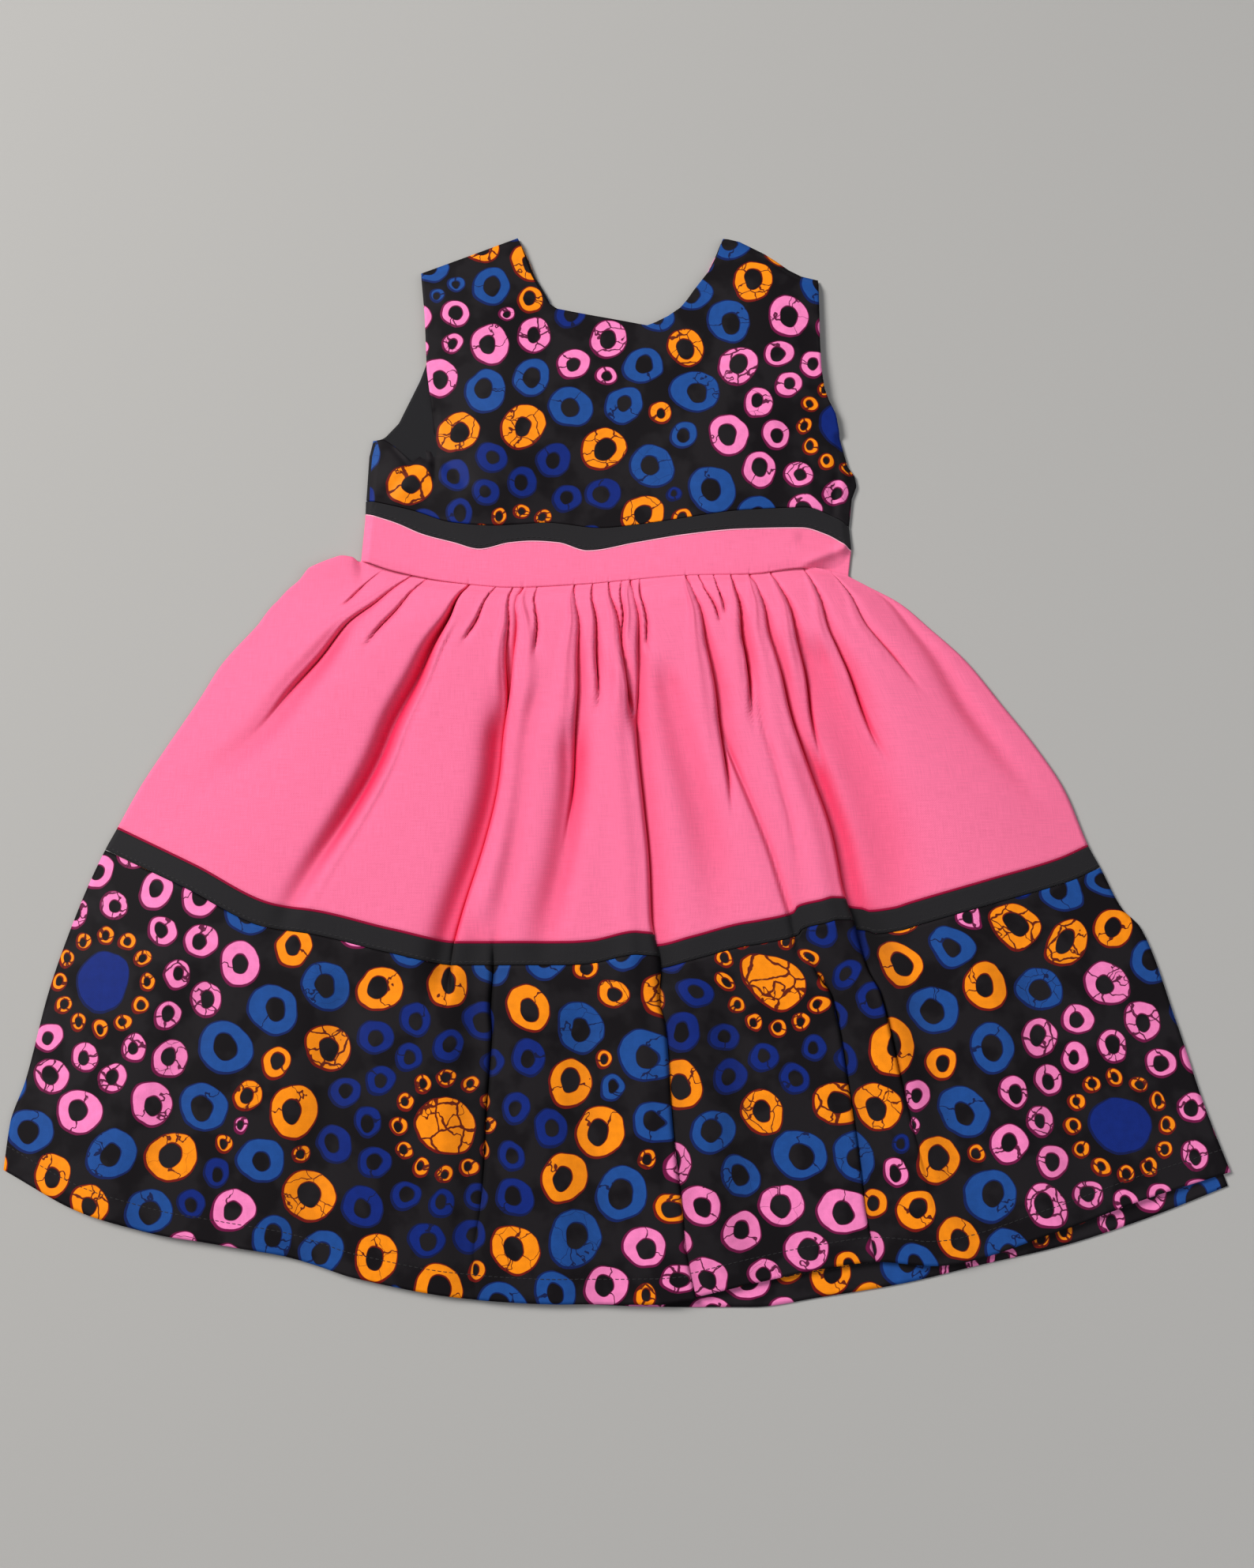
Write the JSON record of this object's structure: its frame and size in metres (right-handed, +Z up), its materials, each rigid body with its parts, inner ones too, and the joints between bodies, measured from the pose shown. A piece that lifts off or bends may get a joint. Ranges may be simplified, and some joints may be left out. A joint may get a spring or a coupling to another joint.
{
  "type": "ankara wax print dress",
  "caption": "Toddler's sleeveless wax print dress laid flat, with a gathered pink skirt, pink waistband, black bands and a print hem tier.",
  "frame": {"origin": "centre of the laid-out dress on the floor that it lies on", "axes": "+Z up from the floor, +Y towards the neck, +X to the right in the picture, along the hem"},
  "size_m": [0.6712, 0.6197, 0.0146],
  "materials": {
    "wax_print": "printed plain-weave cotton with a faint wax sheen",
    "pink_cotton": "plain-weave cotton, matt with soft sheen on the folds",
    "black_cotton": "plain-weave cotton, matt",
    "black_lining": "thin plain-weave lining, matt",
    "zip_tape": "woven tape of a concealed zip"
  },
  "bodies": {
    "root": {"front_bodice": "wax_print", "back_bodice_left": "wax_print", "back_bodice_right": "wax_print", "back_lining_left": "black_lining", "back_lining_right": "black_lining", "front_bodice_band": "black_cotton", "back_bodice_band_left": "black_cotton", "back_bodice_band_right": "black_cotton", "front_waistband": "pink_cotton", "back_waistband_left": "pink_cotton", "back_waistband_right": "pink_cotton", "front_skirt": "pink_cotton", "back_skirt": "pink_cotton", "front_hem_band": "black_cotton", "back_hem_band": "black_cotton", "front_hem_tier": "wax_print", "back_hem_tier": "wax_print", "back_zip_tape": "zip_tape"}
  },
  "joints": []
}
